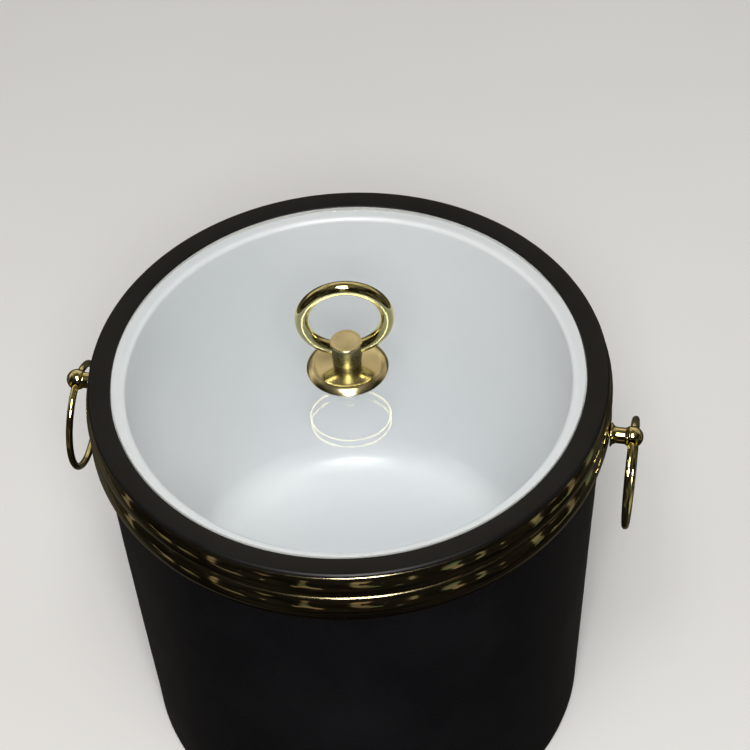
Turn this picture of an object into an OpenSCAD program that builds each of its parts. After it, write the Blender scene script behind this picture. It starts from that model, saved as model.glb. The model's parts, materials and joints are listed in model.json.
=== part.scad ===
// Ice bucket: a tapered board shell clad in black vinyl, with a plastic liner, foam insulation,
// two brass bands, a brass ring handle on each side and a clear lid with a brass ring knob.
// Millimetres, +Z up. The origin is the centre of the foot, and the handles lie on the X axis.

/* [Bucket] */
// Height of the rim above the table
rim_h = 186; // [182:1:200]
// Outer radius of the vinyl at the table
cover_base_r = 90.6; // [90:0.1:92]
// Outer radius of the vinyl under the bands
cover_top_r = 98.3; // [98:0.1:98.3]
// Thickness of the vinyl
cover_t = 1.2; // [0.8:0.1:1.4]
// Thickness of the board shell
board_t = 2.4; // [1.8:0.1:2.6]

/* [Liner] */
// Depth of the liner below the rim
liner_depth = 140; // [120:1:146]
// Inner radius of the liner at the top of its floor fillet
liner_base_r = 76; // [74:0.5:77]
// Inner radius of the liner at its mouth
liner_mouth_r = 85.8; // [84:0.1:86]
// Radius of the fillet between wall and floor
liner_fillet = 14; // [8:1:18]
// Thickness of the liner wall
liner_t = 2; // [1.6:0.1:2.2]

/* [Rim] */
// Inner radius of the black rim ring, which is the recess that the lid drops into
ring_inner_r = 91.5; // [91.4:0.1:92]
// Outer radius of the black rim ring
ring_outer_r = 100.2; // [99.8:0.1:100.6]
// Rise of the black rim ring from its inner edge to its outer crest
ring_rise = 0.5; // [0:0.1:0.8]
// Depth of the lid's seat below the rim
seat_depth = 3.8; // [3:0.1:4.4]

/* [Bands] */
// Outer radius of the two half-round bands
band_r = 101.5; // [101:0.1:102]
// Height of one half-round band
band_h = 11.7; // [11:0.1:12]
// Thickness of the brass sheet
sheet_t = 0.5; // [0.3:0.1:0.5]

/* [Handles] */
// Distance of the handle balls from the bucket's axis
ball_x = 110; // [109:0.5:112]
// Drop of the handle balls below the rim
ball_drop = 21; // [19:0.5:22]
// Diameter of the handle balls
ball_d = 8.4; // [8:0.1:9]
// Outer diameter of the hanging rings
pull_od = 44.5; // [40:0.5:48]
// Thickness of the hanging rings' wire
pull_wire = 2.8; // [2.4:0.1:3]

/* [Lid] */
// Radius of the lid
lid_r = 91.1; // [90.6:0.1:91.1]
// Thickness of the lid
lid_t = 4; // [3:0.1:5]
// Rise of the domed lid from its edge to its centre
lid_rise = 2.3; // [1:0.1:4]

/* [Knob] */
// Diameter of the knob's base
knob_base_d = 31.4; // [26:0.2:36]
// Diameter of the post's head
post_head_d = 12; // [11:0.5:14]
// Outer diameter of the knob's ring
knob_ring_od = 37.6; // [36:0.2:40]
// Thickness of the knob ring's wire
knob_wire = 5.3; // [4.4:0.1:5.6]
// Turn of the knob's ring away from the handles, about the bucket's axis
knob_turn = 12; // [-90:1:90]

/* [Hidden] */

$fn = 96;
over = 1;           // how far a cutter runs past what it cuts
glue_gap = 0.05;    // space between glued layers
run_gap = 0.08;     // radial clearance of a pin that turns in its hole
tight_gap = 0.03;   // radial clearance of a screw or pin that holds

// Heights of the rim, the foot and the layers above it
seat_z = rim_h - seat_depth;
flange_t = 2;
flange_z = seat_z - flange_t;
foot_h = 2.2;
plate_t = 2;
base_board_t = 5;
shell_z = foot_h + glue_gap;
base_board_z = foot_h + plate_t;
foam_z = base_board_z + base_board_t;
liner_floor_z = rim_h - liner_depth;

// Wall: below the bands the shell is a cone, and under them it is a cylinder
cone_top_z = rim_h - 14;
cone_slope = (cover_top_r - cover_base_r) / cone_top_z;
wall_t = cover_t + board_t + 2 * glue_gap;
function cover_r(z) = cover_base_r + cone_slope * min(z, cone_top_z);
liner_slope = (liner_mouth_r - liner_base_r) / (seat_z - liner_floor_z - liner_fillet);
function liner_r(z) = liner_base_r + liner_slope * (z - liner_floor_z - liner_fillet);

// Bands: each is an arc between two edges
band_edge_r = cover_top_r + sheet_t + 0.1;
band_gap = 0.1;
band_hem = 1.6;
upper_band_z = rim_h - 1.7 - band_h;
lower_band_z = upper_band_z - band_gap - band_h;
sagitta = band_r - band_edge_r;
band_arc_r = arc_radius(band_h / 2, sagitta);
band_pin_d = 1.3;
band_pin_step = 6;
seam_w = 0.3;

// Handles: a stud runs from the ball through the wall to a nut behind the board
ball_z = rim_h - ball_drop;
pull_r = (pull_od - pull_wire) / 2;
pull_sag = pull_r - sqrt(pow(pull_r, 2) - pow(ball_d / 2, 2));
pull_play = 0.5;     // how far the ring's wire hangs below the middle of the ball
ball_hole_d = pull_wire + pull_sag + 2 * (pull_play + run_gap);
stud_d = 3;
stud_hole_d = stud_d + 2 * tight_gap;
flange_x = band_r + glue_gap;
stud_flange_d = 9.4;
board_inner_x = cover_r(ball_z) - wall_t;
washer_d = 9;
washer_t = 0.8;
washer_x = sqrt(pow(board_inner_x, 2) - pow(washer_d / 2, 2)) - washer_t - glue_gap;
nut_flats = 5.5;
nut_t = 2.4;
nut_x = washer_x - nut_t;
pocket_d = 15;

// Lid and knob, up the bucket's axis
lid_z = seat_z + glue_gap;
knob_z = lid_z + lid_rise + lid_t + 0.02;
knob_base_h = 3.35;
post_head_z = 14.4;
knob_ring_r = (knob_ring_od - knob_wire) / 2;
knob_ring_z = knob_z + 26.5;
knob_bolt_d = 4;
knob_bolt_end = knob_ring_z - knob_ring_od / 2 - 0.7;
under_z = lid_z + lid_rise - 0.04;

// Radius of the arc that rises by rise over a half width of half
function arc_radius(half, rise) = (pow(half, 2) + pow(rise, 2)) / (2 * rise);

// A ring of round wire that stands in the XZ plane
module wire_ring(centre_r, wire_d) {
    rotate([90, 0, 0])
        rotate_extrude($fn = 144)
            translate([centre_r, 0])
                circle(d = wire_d, $fn = 48);
}

// A rod along +X from x0 to x1
module x_rod(x0, x1, d) {
    translate([x0, 0, 0])
        rotate([0, 90, 0])
            cylinder(d = d, h = x1 - x0);
}

// Puts its children at the right handle's ball, or at the left one for side = -1
module at_handle(side) {
    mirror([side < 0 ? 1 : 0, 0, 0])
        translate([0, 0, ball_z])
            children();
}

// The two stud holes, through everything between r0 and r1
module stud_holes(r0, r1, d) {
    for (side = [-1, 1])
        at_handle(side)
            x_rod(r0, r1, d);
}

// The pins' places: two beside each band's butt seam, at the back
module at_band_pins() {
    for (z = [upper_band_z, lower_band_z], a = [-1, 1])
        rotate([0, 0, 90 + a * asin(band_pin_step / band_r)])
            translate([0, 0, z + band_h / 2])
                children();
}

module pin_holes(r0, r1) {
    at_band_pins()
        x_rod(r0, r1, band_pin_d + 2 * tight_gap);
}

// A butt seam at the back, where a wrapped sheet's two ends meet
module back_seam(z0, z1) {
    translate([-seam_w / 2, 0, z0])
        cube([seam_w, band_r + over, z1 - z0]);
}

// A tapered shell from height z0 to z1, inset by in0 on its outside and in1 on its inside
module wall_shell(z0, z1, in0, in1) {
    rotate_extrude($fn = 180)
        polygon([
            [cover_r(z0) - in1, z0],
            [cover_r(z0) - in0, z0],
            [cover_top_r - in0, cone_top_z],
            [cover_top_r - in0, z1],
            [cover_top_r - in1, z1],
            [cover_top_r - in1, cone_top_z]
        ]);
}

// The liner's shape, filled, grown outwards by t
module liner_form(t, top_z) {
    corner_x = liner_base_r - liner_fillet;
    corner_z = liner_floor_z + liner_fillet;
    polygon([
        [0, liner_floor_z - t],
        [corner_x, liner_floor_z - t],
        [corner_x, corner_z],
        [liner_base_r + t, corner_z],
        [liner_r(top_z) + t, top_z],
        [0, top_z]
    ]);
    intersection() {
        translate([corner_x, corner_z])
            circle(r = liner_fillet + t);
        translate([corner_x, corner_z - liner_fillet - t])
            square(liner_fillet + t);
    }
}

module liner() {
    lip_r = 2;
    lip_x = liner_mouth_r + lip_r;
    color("white")
        rotate_extrude($fn = 180)
            difference() {
                union() {
                    liner_form(liner_t, flange_z + flange_t);
                    translate([liner_mouth_r, flange_z])
                        square([cover_top_r - cover_t - 0.5 - liner_mouth_r, flange_t]);
                    translate([lip_x - lip_r + 0.2, seat_z - lip_r - liner_t])
                        square([lip_r + 0.6, lip_r]);
                }
                liner_form(0, seat_z + over);
                difference() {
                    translate([liner_mouth_r - over, seat_z - lip_r])
                        square([lip_r + over, lip_r + over]);
                    translate([lip_x, seat_z - lip_r])
                        circle(r = lip_r);
                }
            }
}

module foam_sleeve() {
    neck_z = liner_floor_z + 2;
    wall_z = liner_floor_z + liner_fillet - 4;
    lip_z = seat_z - 6;
    clear = liner_t + 0.6;
    color("gainsboro")
        difference() {
            rotate_extrude($fn = 120)
                polygon([
                    [liner_base_r - 1.6, foam_z],
                    [cover_r(foam_z) - wall_t, foam_z],
                    [cover_top_r - wall_t, cone_top_z],
                    [cover_top_r - wall_t, flange_z - glue_gap],
                    [liner_mouth_r + 5, flange_z - glue_gap],
                    [liner_mouth_r + 5, lip_z],
                    [liner_r(lip_z) + clear, lip_z],
                    [liner_base_r + clear, wall_z],
                    [liner_base_r - 1.6, neck_z - 4]
                ]);
            stud_holes(liner_base_r, band_r, pocket_d);
        }
}

module foam_floor() {
    color("gainsboro")
        translate([0, 0, foam_z])
            cylinder(r = liner_base_r - 1.8, h = liner_floor_z - liner_t - glue_gap - foam_z);
}

module shell_board() {
    color("peru")
        difference() {
            wall_shell(shell_z, flange_z - glue_gap, cover_t + glue_gap, wall_t - glue_gap);
            stud_holes(0, band_r, stud_hole_d);
            pin_holes(0, band_r);
        }
}

module vinyl_cover() {
    color([0.045, 0.043, 0.055])
        difference() {
            wall_shell(shell_z, flange_z - glue_gap, 0, cover_t);
            stud_holes(0, band_r, stud_hole_d);
            pin_holes(0, band_r);
            back_seam(0, rim_h);
        }
}

// The four screws that hold the base cover to the base board
base_screw_d = 3;
module at_base_screws() {
    for (a = [45:90:315])
        rotate([0, 0, a])
            translate([58, 0, 0])
                children();
}

module base_board() {
    color("peru")
        difference() {
            translate([0, 0, base_board_z])
                cylinder(r = cover_r(base_board_z) - wall_t, h = base_board_t - glue_gap, $fn = 180);
            at_base_screws()
                translate([0, 0, base_board_z - over])
                    cylinder(d = base_screw_d + 2 * tight_gap, h = over + 4.2);
        }
}

module base_cover() {
    foot_outer_r = cover_base_r - 0.4;
    foot_inner_r = 80;
    plate_r = cover_r(shell_z) - wall_t;
    color([0.06, 0.06, 0.06])
        difference() {
            rotate_extrude($fn = 180)
                polygon([
                    [0, foot_h],
                    [foot_inner_r - 0.8, foot_h],
                    [foot_inner_r, 0],
                    [foot_outer_r - 0.6, 0],
                    [foot_outer_r, 0.6],
                    [foot_outer_r, foot_h],
                    [plate_r, foot_h],
                    [plate_r, base_board_z],
                    [0, base_board_z]
                ]);
            at_base_screws()
                cylinder(d = base_screw_d + 2 * tight_gap, h = base_board_z + over);
        }
}

module base_screws() {
    head_t = 1.6;
    color("silver")
        at_base_screws() {
            difference() {
                translate([0, 0, foot_h - head_t])
                    cylinder(d = 6, h = head_t);
                for (a = [0, 90])
                    rotate([0, 0, a])
                        translate([-1.6, -0.35, foot_h - head_t - over])
                            cube([3.2, 0.7, over + 0.9]);
            }
            translate([0, 0, foot_h])
                cylinder(d = base_screw_d, h = plate_t + 4);
        }
}

// Rim ring: its top rises gently outwards to a rounded crest, and its skirt stands inside the bands
module rim_ring() {
    edge_r = 1.6;
    crest_x = ring_outer_r - edge_r;
    crest_z = rim_h + ring_rise - edge_r;
    lip_z = rim_h - 0.9;
    skirt_out = cover_top_r - 0.1;
    skirt_in = skirt_out - 1.5;
    color([0.13, 0.125, 0.12])
        rotate_extrude($fn = 180) {
            polygon([
                [ring_inner_r, seat_z + glue_gap],
                [skirt_in, seat_z + glue_gap],
                [skirt_in, flange_z + 0.1],
                [skirt_out, flange_z + 0.1],
                [skirt_out, lip_z],
                [crest_x, lip_z],
                [crest_x, rim_h + ring_rise],
                [ring_inner_r, rim_h]
            ]);
            intersection() {
                translate([crest_x, crest_z])
                    circle(r = edge_r);
                translate([crest_x - 0.1, lip_z])
                    square([edge_r + 0.1, edge_r + ring_rise]);
            }
        }
}

// Half-round sheet strip of the bands, in section: the area between two concentric arcs
module band_section(hem) {
    centre_x = band_r - band_arc_r;
    difference() {
        translate([centre_x, band_h / 2])
            circle(r = band_arc_r, $fn = 120);
        translate([centre_x, band_h / 2])
            circle(r = band_arc_r - sheet_t, $fn = 120);
        translate([centre_x - band_arc_r - over, -band_h])
            square([band_edge_r - sheet_t - centre_x + band_arc_r + over, 3 * band_h]);
        translate([0, band_h])
            square([band_r + over, band_h]);
        translate([0, -band_h])
            square([band_r + over, band_h]);
    }
    if (hem > 0)
        translate([band_edge_r - sheet_t, -hem])
            square([sheet_t, hem + 0.2]);
}

module band(z, hem) {
    difference() {
        translate([0, 0, z])
            rotate_extrude($fn = 180)
                band_section(hem);
        stud_holes(0, band_r + over, stud_hole_d);
        pin_holes(0, band_r + over);
        back_seam(z - hem - over, z + band_h + over);
    }
}

module upper_band() {
    color([0.62, 0.56, 0.33])
        band(upper_band_z, 0);
}

module lower_band() {
    color([0.62, 0.56, 0.33])
        band(lower_band_z, band_hem);
}

// Small pins with domed heads, each turned about its own length
module band_pins() {
    head_r = 1.5;
    head_rise = 0.6;
    dome_r = arc_radius(head_r, head_rise);
    head_x = band_r + glue_gap;
    pin_in = cover_top_r - wall_t + 0.3;
    color([0.72, 0.62, 0.35])
        at_band_pins()
            rotate([0, 90, 0])
                rotate_extrude($fn = 48) {
                    translate([0, pin_in])
                        square([band_pin_d / 2, head_x + 0.1 - pin_in]);
                    intersection() {
                        translate([0, head_x + head_rise - dome_r])
                            circle(r = dome_r, $fn = 96);
                        translate([0, head_x])
                            square([head_r, head_rise]);
                    }
                }
}

// Handle post, turned about X: a bell-shaped stem and a ball with the ring's hole, on a stud
module post(side) {
    waist_r = 3.2;
    bell_r = stud_flange_d / 2;
    sweep_r = 2.2;
    edge_t = 0.5;
    waist_x = flange_x + edge_t + sqrt(pow(sweep_r, 2) - pow(sweep_r + waist_r - bell_r, 2));
    color([0.78, 0.66, 0.34])
        at_handle(side)
            difference() {
                union() {
                    rotate([0, 90, 0])
                        rotate_extrude() {
                            difference() {
                                translate([0, flange_x])
                                    square([bell_r, waist_x - flange_x]);
                                translate([waist_r + sweep_r, waist_x])
                                    circle(r = sweep_r);
                            }
                            translate([0, flange_x])
                                square([waist_r, ball_x - ball_d / 4 - flange_x]);
                        }
                    translate([ball_x, 0, 0])
                        sphere(d = ball_d);
                    x_rod(nut_x - 1, flange_x + 0.5, stud_d);
                }
                translate([ball_x, 0, 0])
                    rotate([90, 0, 0])
                        cylinder(d = ball_hole_d, h = 2 * ball_d, center = true);
            }
}

module left_handle_post() { post(-1); }
module right_handle_post() { post(1); }

// Hanging ring: its wire rests low in the ball's hole, and it hangs straight down from it
module pull_ring(side) {
    color([0.78, 0.66, 0.34])
        at_handle(side)
            translate([ball_x, 0, pull_sag / 2 - pull_play - pull_r])
                rotate([0, 0, 90])
                    wire_ring(pull_r, pull_wire);
}

module left_handle_ring() { pull_ring(-1); }
module right_handle_ring() { pull_ring(1); }

module stud_washer(side) {
    color("silver")
        at_handle(side)
            difference() {
                x_rod(washer_x, washer_x + washer_t, washer_d);
                x_rod(0, band_r, stud_hole_d);
            }
}

module left_handle_washer() { stud_washer(-1); }
module right_handle_washer() { stud_washer(1); }

module stud_nut(side) {
    color("silver")
        at_handle(side)
            difference() {
                translate([nut_x, 0, 0])
                    rotate([0, 90, 0])
                        cylinder(d = nut_flats / cos(30), h = nut_t, $fn = 6);
                x_rod(0, band_r, stud_hole_d);
            }
}

module left_handle_nut() { stud_nut(-1); }
module right_handle_nut() { stud_nut(1); }

// Lid: a gently domed disc with a flat seat under its edge
module lid_disc() {
    bevel = 0.4;
    seat_r = liner_mouth_r + 1;
    edge_z = lid_z + lid_t;
    top_r = arc_radius(lid_r, lid_rise);
    under_r = arc_radius(seat_r, lid_rise);
    color([0.85, 0.9, 0.9, 0.4])
        difference() {
            rotate_extrude($fn = 180)
                difference() {
                    intersection() {
                        translate([0, edge_z + lid_rise - top_r])
                            circle(r = top_r, $fn = 1440);
                        polygon([
                            [0, lid_z],
                            [lid_r - bevel, lid_z],
                            [lid_r, lid_z + bevel],
                            [lid_r, edge_z - bevel],
                            [lid_r - 2 * lid_t, edge_z - bevel + 2 * lid_t],
                            [0, edge_z - bevel + 2 * lid_t]
                        ]);
                    }
                    translate([0, lid_z + lid_rise - under_r])
                        circle(r = under_r, $fn = 1440);
                }
            translate([0, 0, lid_z - over])
                cylinder(d = knob_bolt_d + 2 * run_gap, h = lid_rise + lid_t + 2 * over);
        }
}

// Base of the knob: a low cone with a rounded shoulder that ends in a thin upright edge
module knob_base() {
    edge_t = 0.35;
    cone_slope = 8;
    shoulder_r = 6.5;
    shoulder_slope = 49;
    base_r = knob_base_d / 2;
    centre_x = base_r - shoulder_r * sin(shoulder_slope);
    centre_z = edge_t - shoulder_r * cos(shoulder_slope);
    cone_x = centre_x + shoulder_r * sin(cone_slope);
    cone_z = centre_z + shoulder_r * cos(cone_slope);
    top_x = cone_x - (knob_base_h - cone_z) / tan(cone_slope);
    color([0.78, 0.66, 0.34])
        translate([0, 0, knob_z])
            difference() {
                rotate_extrude($fn = 120) {
                    square([base_r, edge_t]);
                    intersection() {
                        translate([centre_x, centre_z])
                            circle(r = shoulder_r, $fn = 240);
                        translate([cone_x, 0])
                            square([base_r - cone_x, knob_base_h]);
                    }
                    polygon([[0, 0], [cone_x, 0], [cone_x, cone_z], [top_x, knob_base_h], [0, knob_base_h]]);
                }
                translate([0, 0, -over])
                    cylinder(d = knob_bolt_d + 2 * tight_gap, h = knob_base_h + 2 * over);
            }
}

// Post: a thick cylinder that curves in to a narrower foot, with a flat head that the ring runs through
module knob_post() {
    head_r = post_head_d / 2;
    foot_r = head_r - 1;
    cup_h = 5;
    cup_r = arc_radius(cup_h, head_r - foot_r);
    crown = 0.2;
    crown_r = arc_radius(head_r, crown);
    color([0.78, 0.66, 0.34])
        difference() {
            translate([0, 0, knob_z])
                rotate_extrude($fn = 120) {
                    intersection() {
                        translate([head_r - cup_r, knob_base_h + cup_h])
                            circle(r = cup_r, $fn = 240);
                        translate([0, knob_base_h])
                            square([head_r, cup_h]);
                    }
                    translate([0, knob_base_h + cup_h])
                        square([head_r, post_head_z - crown - knob_base_h - cup_h]);
                    intersection() {
                        translate([0, post_head_z - crown_r])
                            circle(r = crown_r, $fn = 480);
                        translate([0, post_head_z - crown])
                            square([head_r, crown]);
                    }
                }
            translate([0, 0, knob_ring_z])
                rotate([0, 0, knob_turn])
                    wire_ring(knob_ring_r, knob_wire + 0.04);
            cylinder(d = knob_bolt_d + 2 * tight_gap, h = knob_bolt_end + 0.2);
        }
}

module knob_ring() {
    color([0.8, 0.68, 0.36])
        translate([0, 0, knob_ring_z])
            rotate([0, 0, knob_turn])
                wire_ring(knob_ring_r, knob_wire);
}

module knob_washer() {
    color("silver")
        translate([0, 0, under_z - washer_t])
            difference() {
                cylinder(d = 10, h = washer_t);
                translate([0, 0, -over])
                    cylinder(d = knob_bolt_d + 2 * tight_gap, h = washer_t + 2 * over);
            }
}

module knob_screw() {
    head_t = 2.4;
    head_z = under_z - washer_t - head_t;
    color("silver")
        difference() {
            union() {
                translate([0, 0, head_z])
                    cylinder(d = 8, h = head_t);
                translate([0, 0, head_z + over])
                    cylinder(d = knob_bolt_d, h = knob_bolt_end - head_z - over);
            }
            translate([-5, -0.5, head_z - over])
                cube([10, 1, over + 1.2]);
        }
}

liner();
foam_sleeve();
foam_floor();
shell_board();
vinyl_cover();
base_board();
base_cover();
base_screws();
rim_ring();
upper_band();
lower_band();
band_pins();
left_handle_post();
right_handle_post();
left_handle_ring();
right_handle_ring();
left_handle_washer();
right_handle_washer();
left_handle_nut();
right_handle_nut();
lid_disc();
knob_base();
knob_post();
knob_ring();
knob_screw();
knob_washer();
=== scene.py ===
"""Looks of the ice bucket: finer meshes for the pieces that show, materials, light, floor and camera."""
import json
from math import asin, cos, exp, pi, radians, sin, tan, tau

import bmesh
import bpy
from mathutils import Matrix, Vector, noise

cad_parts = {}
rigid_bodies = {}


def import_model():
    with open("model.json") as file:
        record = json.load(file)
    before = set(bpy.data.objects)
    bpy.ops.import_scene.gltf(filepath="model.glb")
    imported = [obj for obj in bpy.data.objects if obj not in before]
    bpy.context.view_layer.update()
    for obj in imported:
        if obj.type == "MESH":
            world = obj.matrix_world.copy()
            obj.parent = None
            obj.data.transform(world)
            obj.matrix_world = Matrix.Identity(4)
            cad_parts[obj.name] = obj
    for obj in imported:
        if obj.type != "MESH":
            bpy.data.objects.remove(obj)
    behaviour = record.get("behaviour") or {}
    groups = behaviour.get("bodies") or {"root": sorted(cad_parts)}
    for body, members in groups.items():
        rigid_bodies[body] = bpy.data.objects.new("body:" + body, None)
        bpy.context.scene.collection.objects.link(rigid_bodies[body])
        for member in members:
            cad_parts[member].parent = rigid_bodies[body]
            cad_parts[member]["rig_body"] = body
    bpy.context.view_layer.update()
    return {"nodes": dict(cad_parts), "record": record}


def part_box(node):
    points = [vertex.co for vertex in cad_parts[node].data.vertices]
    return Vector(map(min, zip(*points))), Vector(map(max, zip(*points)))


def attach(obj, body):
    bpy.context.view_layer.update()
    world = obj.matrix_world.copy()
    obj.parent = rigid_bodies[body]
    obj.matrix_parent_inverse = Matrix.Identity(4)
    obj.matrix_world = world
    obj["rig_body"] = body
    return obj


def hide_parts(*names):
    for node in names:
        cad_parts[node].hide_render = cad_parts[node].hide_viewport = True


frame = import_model()
nodes = frame["nodes"]
MM = 0.001
BACK = pi / 2           # the sheet seams are on the +Y side


def low(node):
    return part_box(node)[0] / MM


def high(node):
    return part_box(node)[1] / MM


# ---------------------------------------------------------------- node helpers


class Nodes:
    """A node tree, and short calls for adding and joining nodes in it."""

    def __init__(self, tree, place):
        self.tree = tree
        self.place = self.add("ShaderNodeTexCoord").outputs[place]

    def add(self, kind, **settings):
        node = self.tree.nodes.new(kind)
        for key, value in settings.items():
            if key in node.inputs:
                node.inputs[key].default_value = value
            else:
                setattr(node, key, value)
        return node

    def join(self, source, target):
        self.tree.links.new(source, target)

    def noise(self, scale, detail=3.0, rough=0.55, vector=None):
        node = self.add("ShaderNodeTexNoise", Scale=scale, Detail=detail, Roughness=rough)
        self.join(vector or self.place, node.inputs["Vector"])
        return node.outputs["Fac"]

    def cells(self, scale, feature="F1"):
        node = self.add("ShaderNodeTexVoronoi", feature=feature, Scale=scale)
        self.join(self.place, node.inputs["Vector"])
        return node.outputs["Distance"]

    def stretch(self, x, y, z):
        node = self.add("ShaderNodeMapping")
        node.inputs["Scale"].default_value = (x, y, z)
        self.join(self.place, node.inputs["Vector"])
        return node.outputs["Vector"]

    def math(self, operation, a, b=0.0):
        node = self.add("ShaderNodeMath", operation=operation)
        for socket, value in zip(node.inputs, (a, b)):
            if isinstance(value, bpy.types.NodeSocket):
                self.join(value, socket)
            else:
                socket.default_value = value
        return node.outputs["Value"]

    def off_axis(self):
        """Distance of the shaded point from the Z axis."""
        flat = self.add("ShaderNodeVectorMath", operation="LENGTH")
        self.join(self.stretch(1, 1, 0), flat.inputs[0])
        return flat.outputs["Value"]

    def spread(self, value, low, high, start=0.3, end=0.7):
        """Maps value from start..end to low..high."""
        node = self.add("ShaderNodeMapRange")
        for key, amount in (("From Min", start), ("From Max", end), ("To Min", low), ("To Max", high)):
            node.inputs[key].default_value = amount
        self.join(value, node.inputs["Value"])
        return node.outputs["Result"]

    def ramp(self, value, *stops):
        """A colour ramp: each stop is (position, (r, g, b))."""
        node = self.add("ShaderNodeValToRGB")
        ramp = node.color_ramp
        while len(ramp.elements) < len(stops):
            ramp.elements.new(0.5)
        for element, (position, colour) in zip(ramp.elements, stops):
            element.position = position
            element.color = (*colour, 1)
        self.join(value, node.inputs["Fac"])
        return node.outputs["Color"]

    def blend(self, factor, a, b):
        """Mixes two colours, each a socket or (r, g, b)."""
        node = self.add("ShaderNodeMix", data_type="RGBA")
        self.join(factor, node.inputs["Factor"])
        for key, value in (("A", a), ("B", b)):
            if isinstance(value, bpy.types.NodeSocket):
                self.join(value, node.inputs[key])
            else:
                node.inputs[key].default_value = (*value, 1)
        return node.outputs["Result"]

    def mix(self, factor, a, b):
        """Mixes two shaders."""
        node = self.add("ShaderNodeMixShader")
        self.join(factor, node.inputs["Fac"])
        self.join(a, node.inputs[1])
        self.join(b, node.inputs[2])
        return node.outputs["Shader"]


class Shader(Nodes):
    """A material with one Principled shader."""

    def __init__(self, name):
        self.material = bpy.data.materials.new(name)
        self.material.use_nodes = True
        super().__init__(self.material.node_tree, "Object")
        self.bsdf = self.tree.nodes["Principled BSDF"]
        self.output = self.tree.nodes["Material Output"]

    def bump(self, height, depth, strength=1.0, under=None):
        node = self.add("ShaderNodeBump")
        node.inputs["Strength"].default_value = strength
        node.inputs["Distance"].default_value = depth
        self.join(height, node.inputs["Height"])
        if under is not None:
            self.join(under, node.inputs["Normal"])
        return node.outputs["Normal"]

    def set(self, **values):
        for key, value in values.items():
            socket = self.bsdf.inputs[key.replace("_", " ")]
            if isinstance(value, bpy.types.NodeSocket):
                self.join(value, socket)
            else:
                socket.default_value = value


def polished_brass(name, deep, middle, light, rough, darker_edge_radii=None):
    """Yellow brass with faint cloudy ageing and hairline scratches. The optional pair of radii makes the
    brass dark brown and rougher inside the first one, back to plain brass at the second."""
    s = Shader(name)
    clouds = s.noise(35, 5)
    patches = s.noise(240, 3)
    colour = s.ramp(clouds, (0.25, deep), (0.5, middle), (0.8, light))
    roughness = s.spread(patches, rough, rough + 0.04)
    if darker_edge_radii:
        # Dark brown, rougher brass nearest the axis, inside the first radius, fading to plain brass by the
        # second.
        start, end = darker_edge_radii
        ragged = s.math("MULTIPLY", s.math("SUBTRACT", s.noise(300, 2), 0.5), 0.8 * MM)
        mottled = s.math("ADD", s.off_axis(), ragged)
        away_from_axis = s.spread(mottled, 0, 1, start, end)
        colour = s.blend(away_from_axis, (0.2, 0.14, 0.06), colour)
        roughness = s.math("ADD", roughness, s.spread(away_from_axis, 0.2, 0, 0, 1))
    scratch = s.noise(900, 2, 0.5, s.stretch(1, 1, 0.12))
    s.set(Base_Color=colour, Metallic=1.0, Roughness=roughness)
    s.set(Normal=s.bump(clouds, 0.1 * MM, 0.3, s.bump(scratch, 0.003 * MM, 0.5)))
    return s.material


def cast_brass():
    """The knob's post: finely pitted brass below a head of plain bright brass; everything below the head is
    given a much darker colour as painted shade.
    """
    s = Shader("brass_cast")
    top = high("knob_post").z
    axes = s.add("ShaderNodeSeparateXYZ")
    s.join(s.place, axes.inputs[0])
    # Painted shade: below the head the brass colour is made far darker than on the head.
    sides = s.spread(axes.outputs["Z"], 1, 0, (top - 0.9) * MM, (top - 0.5) * MM)
    pits = s.noise(1500, 3)
    # The post's own fine pits, set in painted shade: very dark brass colours for everything below the head;
    # the head keeps plain bright brass.
    pits_and_painted_shade = s.ramp(pits, (0.35, (0.11, 0.095, 0.04)), (0.6, (0.3, 0.28, 0.14)))
    unshaded_head = s.ramp(s.noise(180, 3), (0.3, (0.86, 0.76, 0.42)), (0.7, (0.94, 0.85, 0.52)))
    s.set(Base_Color=s.blend(sides, unshaded_head, pits_and_painted_shade), Metallic=1.0, Roughness=s.spread(sides, 0.2, 0.38, 0, 1))
    s.set(Normal=s.bump(s.math("MULTIPLY", pits, sides), 0.05 * MM, 0.6))
    return s.material


def leather_vinyl():
    """Black vinyl with a fine pebble grain, soft sheen and slightly duller rubbed patches."""
    s = Shader("black_vinyl")
    grain = s.cells(900, "SMOOTH_F1")
    fine = s.noise(2600, 2)
    wear = s.noise(18, 4)
    s.set(Base_Color=s.ramp(wear, (0.3, (0.0045, 0.0042, 0.0055)), (0.75, (0.008, 0.0075, 0.0095))))
    s.set(Roughness=s.spread(wear, 0.36, 0.48), Specular_IOR_Level=0.3)
    s.set(Normal=s.bump(grain, 0.14 * MM, 0.6, s.bump(fine, 0.02 * MM, 0.5)))
    return s.material


def satin_plastic(name, dark, light, rough, shine):
    """Moulded black plastic with a faint haze, fine rubbing marks and a few specks of dust."""
    s = Shader(name)
    haze = s.noise(45, 4)
    rub = s.noise(1500, 3, 0.6, s.stretch(1, 1, 0.2))
    dust = s.spread(s.cells(420), 1, 0, 0.03, 0.06)
    dusty = s.math("MULTIPLY", dust, s.spread(s.noise(60), 0, 0.5, 0.52, 0.66))
    s.set(Base_Color=s.blend(dusty, s.ramp(haze, (0.3, dark), (0.7, light)), (0.12, 0.115, 0.11)))
    s.set(Roughness=s.spread(haze, rough, rough + 0.1))
    s.set(Normal=s.bump(rub, 0.01 * MM, 0.4), Specular_IOR_Level=shine)
    return s.material


def glossy_white_plastic():
    """White moulded plastic: glossy, with the slight waviness of a thin moulded wall."""
    s = Shader("liner_plastic")
    tone = s.noise(12, 3)
    wave = s.noise(20, 1)
    s.set(Base_Color=s.ramp(tone, (0.3, (0.745, 0.765, 0.785)), (0.7, (0.775, 0.795, 0.815))))
    s.set(Roughness=0.3, Coat_Weight=0.1, Coat_Roughness=0.2)
    s.set(Normal=s.bump(wave, 0.4 * MM, 0.12))
    return s.material


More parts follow.
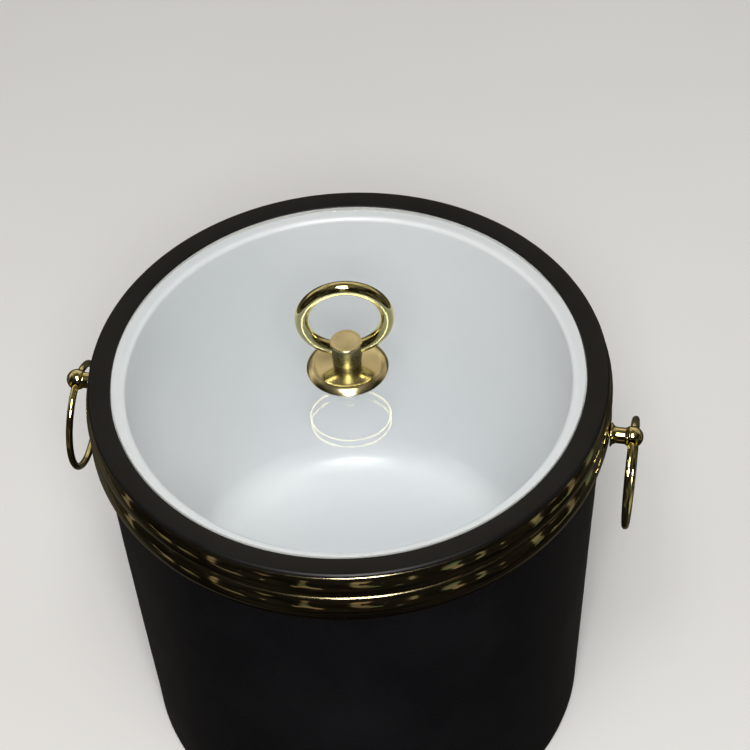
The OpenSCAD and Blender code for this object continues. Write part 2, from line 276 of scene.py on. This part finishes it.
def clear_acrylic():
    """Clear sheet that refracts and reflects what is seen through it, lets light straight through,
    and has a frosted side face."""
    s = Shader("clear_acrylic")
    haze = s.noise(60, 3)
    s.set(Base_Color=(0.985, 0.992, 0.99, 1), Roughness=s.spread(haze, 0.0, 0.02), IOR=1.49)
    s.set(Transmission_Weight=1.0)
    s.set(Normal=s.bump(s.noise(1100, 2, 0.5, s.stretch(1, 0.1, 1)), 0.001 * MM, 0.2))
    sawn = s.noise(500, 3)
    frost = s.add("ShaderNodeBsdfTranslucent")
    s.join(s.ramp(sawn, (0.3, (0.86, 0.86, 0.82)), (0.7, (0.94, 0.94, 0.9))), frost.inputs["Color"])
    matt = s.add("ShaderNodeBsdfDiffuse")
    s.join(s.ramp(sawn, (0.3, (0.8, 0.8, 0.76)), (0.7, (0.88, 0.88, 0.84))), matt.inputs["Color"])
    half = s.add("ShaderNodeValue")
    half.outputs[0].default_value = 0.5
    frosted = s.mix(half.outputs[0], frost.outputs["BSDF"], matt.outputs["BSDF"])
    rim = high("lid_disc").x
    side = s.spread(s.off_axis(), 0, 0.8, (rim - 0.25) * MM, (rim - 0.15) * MM)
    body = s.mix(side, s.bsdf.outputs["BSDF"], frosted)
    clear = s.add("ShaderNodeBsdfTransparent")
    clear.inputs["Color"].default_value = (0.93, 0.94, 0.94, 1)
    path = s.add("ShaderNodeLightPath")
    passing = s.math("MAXIMUM", path.outputs["Is Shadow Ray"], path.outputs["Is Diffuse Ray"])
    s.join(s.mix(passing, body, clear.outputs["BSDF"]), s.output.inputs["Surface"])
    return s.material


def zinc_steel():
    """Zinc-plated steel with a crystalline mottle."""
    s = Shader("steel")
    mottle = s.cells(700)
    s.set(Base_Color=s.ramp(mottle, (0.1, (0.5, 0.51, 0.52)), (0.6, (0.66, 0.67, 0.68))), Metallic=1.0)
    s.set(Roughness=s.spread(mottle, 0.25, 0.4, 0.0, 0.8), Normal=s.bump(s.noise(1800, 2), 0.01 * MM, 0.4))
    return s.material


def bead_foam():
    """Expanded foam: pressed beads with dark joints between them."""
    s = Shader("foam")
    beads = s.cells(330, "DISTANCE_TO_EDGE")
    s.set(Base_Color=s.ramp(beads, (0.0, (0.6, 0.6, 0.58)), (0.12, (0.86, 0.86, 0.84))), Roughness=0.8)
    s.set(Normal=s.bump(beads, 0.3 * MM, 0.6))
    return s.material


def fibreboard():
    """Brown pressed board with flecks and short fibres."""
    s = Shader("fibreboard")
    fibre = s.noise(700, 5, 0.7, s.stretch(0.25, 0.25, 1.5))
    brown = s.ramp(fibre, (0.3, (0.16, 0.1, 0.055)), (0.55, (0.28, 0.19, 0.11)), (0.8, (0.38, 0.27, 0.17)))
    s.set(Base_Color=brown, Roughness=0.85, Normal=s.bump(fibre, 0.1 * MM, 0.6))
    return s.material


MATERIALS = {
    "liner_plastic": glossy_white_plastic(),
    "foam": bead_foam(),
    "fibreboard": fibreboard(),
    "black_vinyl": leather_vinyl(),
    "black_plastic": satin_plastic("black_plastic", (0.004, 0.0038, 0.0036), (0.0065, 0.0062, 0.006),
                                   rough=0.3, shine=0.25),
    "brass": polished_brass("brass", (0.8, 0.7, 0.31), (0.87, 0.79, 0.4), (0.9, 0.83, 0.46), 0.04),
    "steel": zinc_steel(),
    "clear_acrylic": clear_acrylic(),
}
CAST_BRASS = cast_brass()
TURNED_BRASS = polished_brass("brass_turned", (0.76, 0.66, 0.36), (0.85, 0.76, 0.44), (0.88, 0.8, 0.5),
                              0.15)
BAND_BRASS = polished_brass("brass_band", (0.42, 0.35, 0.21), (0.5, 0.44, 0.28), (0.5, 0.48, 0.33), 0.05,
                            darker_edge_radii=(98.8 * MM, 99.7 * MM))
NODE_SLOT = {part["node"]: part["material_slot"] for part in frame["record"]["subparts"]}


def dress(obj, material):
    obj.data.materials.clear()
    obj.data.materials.append(material)


for node_name, node_object in nodes.items():
    dress(node_object, MATERIALS[NODE_SLOT[node_name]])

# ---------------------------------------------------------------- outlines, in millimetres


def arc(centre, radius, start, end, steps=10):
    """Points on an arc, both ends included. Angles are in degrees, from +radius towards +height."""
    turns = [radians(start + (end - start) * i / steps) for i in range(steps + 1)]
    return [(centre[0] + radius * cos(a), centre[1] + radius * sin(a)) for a in turns]


def rounded(corners, steps=6):
    """A closed outline from (x, z, radius) corners, each turned into an arc of its radius."""
    points = []
    for i, (x, z, radius) in enumerate(corners):
        here = Vector((x, z))
        if radius == 0:
            points.append((x, z))
            continue
        before = (Vector(corners[i - 1][:2]) - here).normalized()
        after = (Vector(corners[(i + 1) % len(corners)][:2]) - here).normalized()
        half = before.angle(after) / 2
        middle = here + (before + after).normalized() * radius / sin(half)
        first = here + before * radius / tan(half) - middle
        last = here + after * radius / tan(half) - middle
        turn = first.angle_signed(last)
        for k in range(steps + 1):
            spoke = first.copy()
            spoke.rotate(Matrix.Rotation(-turn * k / steps, 2))
            points.append(tuple(middle + spoke))
    return points


def divided(start, end, steps):
    """Points along a straight line, both ends included."""
    return [(start[0] + (end[0] - start[0]) * i / steps, start[1] + (end[1] - start[1]) * i / steps)
            for i in range(steps + 1)]


def dome(peak, half, rise, start, end, steps=40):
    """Points from radius start to radius end on an arc that falls by rise from its peak to radius half."""
    radius = (half ** 2 + rise ** 2) / (2 * rise)
    spots = [start + (end - start) * i / steps for i in range(steps + 1)]
    return [(x, peak - radius + (radius ** 2 - x ** 2) ** 0.5) for x in spots]


# ---------------------------------------------------------------- mesh helpers


def turn_angles(count, seam=0.0):
    """Angles of a full turn, or of one that leaves a seam open at the back, with finer steps beside it."""
    if not seam:
        return [tau * i / count for i in range(count)]
    crowding = 0.9
    shares = [i / count - crowding * sin(tau * i / count) / tau for i in range(count + 1)]
    return [BACK + seam / 2 + (tau - seam) * share for share in shares]


def turned(outline, angles, seam=False, ripple=None):
    """Turns an outline of (radius, height) points, in millimetres, about Z. Both ends of an outline may
    lie on the axis. ripple(angle, radius, height) adds to the radius. A seam gets end caps."""
    bm = bmesh.new()
    rings = []
    for angle in angles:
        ring = []
        for radius, height in outline:
            radius += ripple(angle, radius, height) if ripple else 0
            ring.append(bm.verts.new((radius * cos(angle) * MM, radius * sin(angle) * MM, height * MM)))
        rings.append(ring)
    on_axis = outline[0][0] == 0 and outline[-1][0] == 0
    last = len(outline) - 1 if on_axis else len(outline)
    for i in range(len(rings) - 1 if seam else len(rings)):
        here, there = rings[i], rings[(i + 1) % len(rings)]
        for k in range(last):
            n = (k + 1) % len(outline)
            bm.faces.new((here[k], there[k], there[n], here[n]))
    if seam:
        bm.faces.new(rings[0])
        bm.faces.new(rings[-1][::-1])
    if on_axis:
        bmesh.ops.remove_doubles(bm, verts=bm.verts, dist=0.0001 * MM)
    bmesh.ops.recalc_face_normals(bm, faces=bm.faces)
    return bm


def finish_mesh(name, bm, sharp_deg=40):
    mesh = bpy.data.meshes.new(name)
    bm.to_mesh(mesh)
    bm.free()
    for face in mesh.polygons:
        face.use_smooth = True
    mesh.set_sharp_from_angle(angle=radians(sharp_deg))
    obj = bpy.data.objects.new(name, mesh)
    bpy.context.scene.collection.objects.link(obj)
    return obj


def stand_for(obj, node, material=None):
    """obj takes the place of a CAD node: same body, and the node's material unless another is given."""
    dress(obj, material or MATERIALS[NODE_SLOT[node]])
    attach(obj, nodes[node]["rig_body"])
    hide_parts(node)
    return obj


def torus(centre_r, wire_r, across=48, around=192, start=0.0, sweep=tau):
    """A ring of round wire about Z, or an arc of one with closed ends."""
    closed = abs(sweep - tau) < 1e-9
    steps = around if closed else around + 1
    spots = [tau * k / across for k in range(across)]
    circle = [(centre_r + wire_r * cos(spot), wire_r * sin(spot)) for spot in spots]
    return turned(circle, [start + sweep * i / around for i in range(steps)], seam=not closed)


def fused(name, parts, voxel, smooth):
    """One smooth-jointed mesh made of several closed ones that overlap."""
    bm = bmesh.new()
    for part in parts:
        mesh = bpy.data.meshes.new("part")
        part.to_mesh(mesh)
        part.free()
        bm.from_mesh(mesh)
        bpy.data.meshes.remove(mesh)
    obj = finish_mesh(name, bm)
    remesh = obj.modifiers.new("remesh", "REMESH")
    remesh.mode = "VOXEL"
    remesh.voxel_size = voxel * MM
    remesh.use_smooth_shade = True
    soften = obj.modifiers.new("soften", "SMOOTH")
    soften.factor = 0.5
    soften.iterations = smooth
    graph = bpy.context.evaluated_depsgraph_get()
    mesh = bpy.data.meshes.new_from_object(obj.evaluated_get(graph))
    obj.modifiers.clear()
    obj.data = mesh
    return obj


def placed(bm, matrix):
    bmesh.ops.transform(bm, matrix=matrix, verts=bm.verts)
    return bm


def uneven(size, amount):
    """A smooth unevenness of the given wavelength and amount, in millimetres, for turned()."""
    def ripple(angle, radius, height):
        return amount * noise.noise(Vector((radius * cos(angle), radius * sin(angle), height)) / size)
    return ripple


# ---------------------------------------------------------------- the bucket's pieces


def make_rim_ring():
    """Black ring whose top rises gently to a rounded crest, with a skirt that plugs it into the shell."""
    bottom, top, outer = low("rim_ring").z, high("rim_ring").z, high("rim_ring").x
    seat = low("lid_disc").z
    rise, edge_r, bevel = 0.5, 1.6, 0.45
    inner, skirt_in, skirt_out = 91.5, 96.7, 98.2
    rim_z = top - rise
    lip = rim_z - 0.9
    outline = [(inner, seat), (skirt_in, seat), (skirt_in, bottom), (skirt_out, bottom), (skirt_out, lip)]
    outline += [(outer - 0.25, lip)] + arc((outer - edge_r, top - edge_r), edge_r, 16, 92, 14)
    outline += arc((inner + bevel, rim_z + 0.03 - bevel), bevel, 94, 180, 6)
    ring = finish_mesh("rim", turned(outline, turn_angles(480), ripple=uneven(40, 0.04)))
    return stand_for(ring, "rim_ring")


def band_outline(bottom, top, crown, hem=0.0):
    """Section of a half-round sheet band, with a straight hem below it and slightly rounded edges."""
    sheet = 0.5
    edge = 98.9
    half = (top - bottom) / 2
    rise = crown - edge
    radius = (half ** 2 + rise ** 2) / (2 * rise)
    centre = (crown - radius, bottom + half)
    spread_deg = asin(half / radius) * 180 / pi
    inner_deg = asin((half - 0.02) / (radius - sheet)) * 180 / pi
    curl = 0.3
    top_edge = arc((edge - 0.26, top - curl), curl, 100, spread_deg, 5)
    outside = top_edge + arc(centre, radius, spread_deg - 2.5, -spread_deg, 36)
    inside = arc(centre, radius - sheet, -inner_deg, inner_deg - 2, 20)
    if hem:
        foot = bottom - hem
        outside += [(edge, foot + 0.25), (edge - 0.08, foot + 0.07), (edge - 0.25, foot)]
        outside += [(edge - sheet + 0.08, foot + 0.07), (edge - sheet, foot + 0.25)]
    return outside + inside


def make_bands():
    """Two pressed brass bands, each a wrapped strip whose ends butt at the back."""
    seam = 0.3 / 101
    bands = (("upper_band", "band_upper", 0, 0), ("lower_band", "band_lower", 1.6, 300))
    for node, name, hem, phase in bands:
        crown, top = -low(node).y, high(node).z
        bottom = low(node).z + hem
        outline = band_outline(bottom, top, crown, hem)

        def ripple(angle, radius, height):
            spot = Vector((radius * cos(angle), radius * sin(angle), height + phase))
            from_seam = abs((angle - BACK + pi) % tau - pi) * radius
            dents = 0.05 * noise.noise(spot / 22) + 0.02 * noise.noise(spot / 7)
            return dents - 0.12 * exp(-(from_seam / 0.6) ** 2)

        band = finish_mesh(name, turned(outline, turn_angles(720, seam), seam=True, ripple=ripple))
        stand_for(band, node, BAND_BRASS)


def make_vinyl():
    """Vinyl skin glued round the shell: soft unevenness, turned-in lower edge, butt seam at the back."""
    bottom, top = low("vinyl_cover").z, high("vinyl_cover").z
    straight = 172
    base_r, top_r, thick = 90.6, 98.3, 1.2
    slope = (top_r - base_r) / straight
    curl_top, curl_r = bottom + 0.9, 0.85
    outside = divided((base_r + slope * curl_top, curl_top), (top_r, straight), 70) + [(top_r, top)]
    inside = [(top_r - thick, top), (top_r - thick, straight), (base_r + slope * bottom - thick, bottom)]
    curl = arc((base_r + slope * bottom - curl_r, curl_top), curl_r, -80, 0, 6)[:-1]

    def ripple(angle, radius, height):
        spot = Vector((radius * cos(angle), radius * sin(angle), height * 0.7))
        soft = 0.16 * noise.noise(spot / 34) + 0.05 * noise.noise(spot / 9)
        fade = min(1, max(0, (152 - height) / 14)) * min(1, height / 12)
        from_seam = abs((angle - BACK + pi) % tau - pi) * radius
        outer = 1 if radius > base_r + slope * min(height, straight) - 0.6 else 0
        return outer * (soft * fade - 0.4 * exp(-(from_seam / 0.7) ** 2))

    bm = turned(curl + outside + inside, turn_angles(560, 0.3 / 94), seam=True, ripple=ripple)
    stand_for(finish_mesh("vinyl_skin", bm), "vinyl_cover")


def make_liner():
    """White tub: rounded lip, tapered wall, wide floor fillet and a floor that dips towards its middle."""
    base_r, mouth_r, fillet, wall, lip = 76, 85.8, 14, 2, 2
    floor, seat = low("liner").z + wall, high("liner").z
    flange_r, flange_t, edge = high("liner").y, 2, 0.4
    inside = [(0, floor - 0.5)] + divided((14, floor - 0.47), (base_r - fillet, floor), 10)
    inside += arc((base_r - fillet, floor + fillet), fillet, -88, 0, 20)
    inside += divided((base_r, floor + fillet), (mouth_r - 0.25, seat - lip - 2), 40)[1:]
    inside += arc((mouth_r + lip, seat - lip), lip, 180, 90, 10)
    outside = arc((flange_r - edge, seat - edge), edge, 90, 0, 4)
    outside += [(flange_r, seat - flange_t), (mouth_r + 4, seat - flange_t)]
    outside += [(mouth_r + 1.7, seat - 5), (base_r + wall, floor + fillet)]
    outside += arc((base_r - fillet, floor + fillet), fillet + wall, 0, -90, 12) + [(0, floor - wall)]
    bm = turned(inside + outside, turn_angles(360), ripple=uneven(60, 0.1))
    stand_for(finish_mesh("liner_tub", bm), "liner")


def make_base_cover():
    """Moulded bottom: foot ring, recessed plate and low stiffening rings on it."""
    top, foot_r = high("base_cover").z, high("base_cover").x
    plate, plate_r = 2.2, 86.9
    outline = [(0, plate - 0.3), (11.6, plate - 0.3), (12.2, plate)]
    rib = ((-0.9, 0), (-0.5, -0.5), (0.5, -0.5), (0.9, 0))
    for ring_r in (30, 70):
        outline += [(ring_r + across, plate + up) for across, up in rib]
    foot = rounded([(79.2, plate, 0.4), (80, 0, 0.6), (foot_r, 0, 0.8), (foot_r, plate, 0)], 5)
    outline += foot + [(plate_r, plate), (plate_r, top), (0, top)]
    stand_for(finish_mesh("bottom_cover", turned(outline, turn_angles(360))), "base_cover")


def make_lid():
    """Clear domed disc with a flat seat under its edge and a hole for the knob's screw."""
    bottom, peak, outer = low("lid_disc").z, high("lid_disc").z, high("lid_disc").x
    thick, bevel, hole, seat = 4, 0.4, 2.08, 86.8
    edge_top = bottom + thick
    outline = arc((outer - bevel, bottom + bevel), bevel, 0, -90, 6)
    outline += dome(peak - thick, seat, peak - edge_top, seat, hole)
    outline += dome(peak, outer, peak - edge_top, hole, outer - bevel)
    outline += arc((outer - bevel, edge_top - bevel), bevel, 85, 0, 6)
    stand_for(finish_mesh("lid_clear", turned(outline, turn_angles(480))), "lid_disc")


def make_knob():
    """Low conical base, cup-shaped post with a flat head, and a wire ring soldered through the head."""
    foot, base_r = low("knob_base").z, high("knob_base").x
    base_top, head_top = high("knob_base").z, high("knob_post").z
    slope, shoulder_r, shoulder_deg, edge = 8, 6.5, 49, 0.35
    hole, neck = 2.05, 5.81
    shoulder_x = base_r - shoulder_r * sin(radians(shoulder_deg))
    shoulder_z = foot + edge - shoulder_r * cos(radians(shoulder_deg))
    base = [(hole, foot), (base_r - 0.12, foot), (base_r, foot + 0.12)]
    base += arc((shoulder_x, shoulder_z), shoulder_r, 90 - shoulder_deg, 90 - slope, 20)
    base += [(neck, base_top), (hole, base_top)]
    stand_for(finish_mesh("knob_foot", turned(base, turn_angles(192))), "knob_base", TURNED_BRASS)

    head_r, cup_h, cup_r, fillet, crown = 6, 5, 13, 0.7, 0.2
    post = [(0, base_top - 0.04), (head_r + 0.1, base_top - 0.04)]
    post += arc((head_r - 0.05, base_top + fillet - 0.02), fillet, 262, 190, 8)
    post += arc((head_r - cup_r, base_top + cup_h), cup_r, -19, 0, 12)
    post += arc((head_r - 0.4, head_top - crown - 0.25), 0.4, 0, 70, 5)
    post += [(head_r * share, head_top - crown * share ** 2) for share in (0.8, 0.6, 0.4, 0.2, 0)]

    ring_low, ring_top = low("knob_ring").z, high("knob_ring").z
    wire_r = 5.3 / 2
    ring_r = (ring_top - ring_low) / 2 - wire_r
    ring_turn, stub_sweep = 12, 52
    centre = Matrix.Translation((0, 0, (ring_low + ring_top) / 2 * MM))
    upright = centre @ Matrix.Rotation(radians(ring_turn), 4, "Z") @ Matrix.Rotation(radians(90), 4, "X")
    stub = torus(ring_r, wire_r - 0.06, 40, 40, radians(-90 - stub_sweep / 2), radians(stub_sweep))
    parts = [turned(post, turn_angles(128)), placed(stub, upright)]
    body = fused("knob_stem", parts, 0.16, 10)
    stand_for(body, "knob_post", CAST_BRASS)
    stand_for(finish_mesh("knob_loop", placed(torus(ring_r, wire_r), upright)), "knob_ring")


def make_handle(side, name):
    """Bell-shaped post with a drilled ball, and the ring that hangs through it."""
    ring_low, ring_high = low(name + "_ring"), high(name + "_ring")
    ball_x = (ring_low.x + ring_high.x) / 2 * side
    wire = ring_high.x - ring_low.x
    ring_r = (ring_high.z - ring_low.z - wire) / 2
    ring_z = (ring_low.z + ring_high.z) / 2
    ball_z = (low(name + "_post").z + high(name + "_post").z) / 2
    flange_x, edge, bell_r, waist, sweep, ball_r, hole_r = 101.55, 0.5, 4.7, 3.2, 2.2, 4.2, 2.2
    stem_end = -2.15            # from the ball's centre
    bell_length = (sweep ** 2 - (sweep + waist - bell_r) ** 2) ** 0.5
    waist_x = flange_x + edge + bell_length
    bell_deg = asin(bell_length / sweep) * 180 / pi
    stem = [(0, flange_x), (bell_r - 0.1, flange_x), (bell_r, flange_x + 0.12)]
    stem += arc((waist + sweep, waist_x), sweep, 180 + bell_deg, 180, 16)
    stem += [(waist, ball_x + stem_end), (0, ball_x + stem_end)]
    start = asin(hole_r / ball_r) * 180 / pi
    bead = arc((0, 0), ball_r, 90 - start, start - 90, 32)
    toward_x = Matrix.Rotation(radians(90) * side, 4, "Y")
    along_y = Matrix.Rotation(radians(90), 4, "X")
    height = Matrix.Translation((0, 0, ball_z * MM))
    ball_at = Matrix.Translation((side * ball_x * MM, 0, ball_z * MM))
    parts = [placed(turned(stem, turn_angles(96)), height @ toward_x),
             placed(turned(bead, turn_angles(96)), ball_at @ along_y)]
    post = fused(name + "_stem", parts, 0.14, 4)
    stand_for(post, name + "_post")
    hang = Matrix.Translation((side * ball_x * MM, 0, ring_z * MM)) @ Matrix.Rotation(radians(90), 4, "Y")
    stand_for(finish_mesh(name + "_loop", placed(torus(ring_r, wire / 2, 40), hang)), name + "_ring")


make_rim_ring()
make_bands()
make_vinyl()
make_liner()
make_base_cover()
make_lid()
make_knob()
make_handle(1, "right_handle")
make_handle(-1, "left_handle")

# ---------------------------------------------------------------- camera, light and floor

BLACK = (0, 0, 0)
WHITE = (1, 1, 1)
# Colours of the mirrored room
WALL = (0.6, 0.52, 0.42)
CEILING = (0.12, 0.105, 0.07)
DIM = (0.06, 0.055, 0.045)
BELOW = (0.013, 0.011, 0.009)
REDDISH = (0.34, 0.24, 0.15)
TAN = (0.26, 0.23, 0.16)
GREENISH = (0.15, 0.24, 0.13)

CAMERA_ELEVATION = radians(47.27)
CAMERA_AZIMUTH = radians(12.2)
CAMERA_ROLL = radians(-3.24)
CAMERA_DISTANCE = 0.9583
CAMERA_SHIFT = (0.01026, -0.00246)     # where it aims, right of and above the rim's centre


def make_camera():
    """A long lens that looks down into the rim, rolled slightly."""
    a, e = CAMERA_AZIMUTH, CAMERA_ELEVATION
    right = Vector((cos(a), sin(a), 0))
    back = Vector((sin(a) * cos(e), -cos(a) * cos(e), sin(e)))
    up = back.cross(right)
    data = bpy.data.cameras.new("camera")
    data.lens = 120
    data.sensor_width = 36
    camera = bpy.data.objects.new("camera", data)
    aim = Vector((0, 0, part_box("rim_ring")[1].z)) + right * CAMERA_SHIFT[0] + up * CAMERA_SHIFT[1]
    camera.location = aim + back * CAMERA_DISTANCE
    x_axis = right * cos(CAMERA_ROLL) + up * sin(CAMERA_ROLL)
    y_axis = up * cos(CAMERA_ROLL) - right * sin(CAMERA_ROLL)
    camera.rotation_mode = "QUATERNION"
    camera.rotation_quaternion = Matrix((x_axis, y_axis, back)).transposed().to_quaternion()
    bpy.context.scene.collection.objects.link(camera)
    bpy.context.scene.camera = camera
    return right, back, aim


def area_light(name, place, size, power, colour=(1, 1, 1), mirrored=False, aim=Vector((0, 0, 0.15))):
    """A soft light that polished pieces show only if it is mirrored."""
    data = bpy.data.lights.new(name, "AREA")
    data.shape = "RECTANGLE"
    data.size, data.size_y = size
    data.energy = power
    data.color = colour
    light = bpy.data.objects.new(name, data)
    light.location = place
    light.rotation_mode = "QUATERNION"
    light.rotation_quaternion = (aim - place).to_track_quat("-Z", "Y")
    light.visible_glossy = mirrored
    bpy.context.scene.collection.objects.link(light)


def make_world(front):
    """Even pale light, but polished surfaces mirror a dim room whose back wall is a warm pale tan."""
    world = bpy.data.worlds.new("studio")
    world.use_nodes = True
    n = Nodes(world.node_tree, "Generated")
    even = n.tree.nodes["Background"]
    even.inputs["Color"].default_value = (0.95, 0.94, 0.92, 1)
    even.inputs["Strength"].default_value = 0.3
    axes = n.add("ShaderNodeSeparateXYZ")
    n.join(n.place, axes.inputs[0])
    away = n.add("ShaderNodeVectorMath", operation="DOT_PRODUCT")
    n.join(n.place, away.inputs[0])
    away.inputs[1].default_value = -front
    height = n.spread(axes.outputs["Z"], 0, 1, -1, 1)
    behind = n.spread(away.outputs["Value"], 0, 1, 0.0, 0.4)
    wall = n.ramp(height, (0.56, DIM), (0.63, WALL), (0.905, WALL), (0.925, CEILING))
    room = n.ramp(height, (0.0, BELOW), (0.78, BELOW), (0.87, DIM), (0.93, CEILING))
    patches = n.spread(n.noise(2.6, 2), 0.45, 1.4, 0.36, 0.64)
    near_horizon = n.ramp(height, (0.24, BLACK), (0.3, WHITE), (0.6, WHITE), (0.66, BLACK))
    windows = n.spread(n.noise(9, 1, 0.5, n.stretch(1, 1, 0.05)), 0, 1, 0.605, 0.625)
    glow = n.ramp(n.noise(7, 1), (0.35, REDDISH), (0.55, TAN), (0.65, GREENISH))
    room = n.blend(n.math("MULTIPLY", windows, near_horizon), room, glow)
    mirrored = n.add("ShaderNodeBackground")
    n.join(n.blend(behind, room, wall), mirrored.inputs["Color"])
    n.join(patches, mirrored.inputs["Strength"])
    path = n.add("ShaderNodeLightPath")
    seen = n.mix(path.outputs["Is Glossy Ray"], even.outputs["Background"], mirrored.outputs["Background"])
    n.join(seen, n.tree.nodes["World Output"].inputs["Surface"])
    bpy.context.scene.world = world


def make_stage(right, back, aim):
    """A pale floor, a soft key light high in front, a small one behind the camera, and unmirrored fills."""
    bm = bmesh.new()
    bmesh.ops.create_grid(bm, x_segments=8, y_segments=8, size=4)
    floor = finish_mesh("floor", bm)
    s = Shader("floor_paper")
    tone = s.noise(3, 4)
    s.set(Base_Color=s.ramp(tone, (0.3, (0.77, 0.755, 0.735)), (0.7, (0.8, 0.79, 0.77))), Roughness=0.8)
    s.set(Specular_IOR_Level=0.2)
    dress(floor, s.material)
    floor.visible_glossy = False
    front = Vector((back.x, back.y, 0)).normalized()
    up = Vector((0, 0, 1))
    above = front * 0.57 - right * 0.05 + up * 1.64
    area_light("key", above, (0.55, 0.5), 9.5, (1, 0.985, 0.95), mirrored=True)
    area_light("camera_side", aim + back * 1.15, (0.28, 0.28), 8, mirrored=True)
    area_light("left_fill", -right * 1.6 + front * 0.1 + up * 0.9, (0.9, 0.9), 3, (1, 0.97, 0.93))
    area_light("right_fill", right * 1.5 - front * 0.6 + up * 1.1, (0.8, 0.8), 3, (0.95, 0.98, 1))
    make_world(front)
    bpy.context.scene.view_settings.view_transform = "Standard"


make_stage(*make_camera())
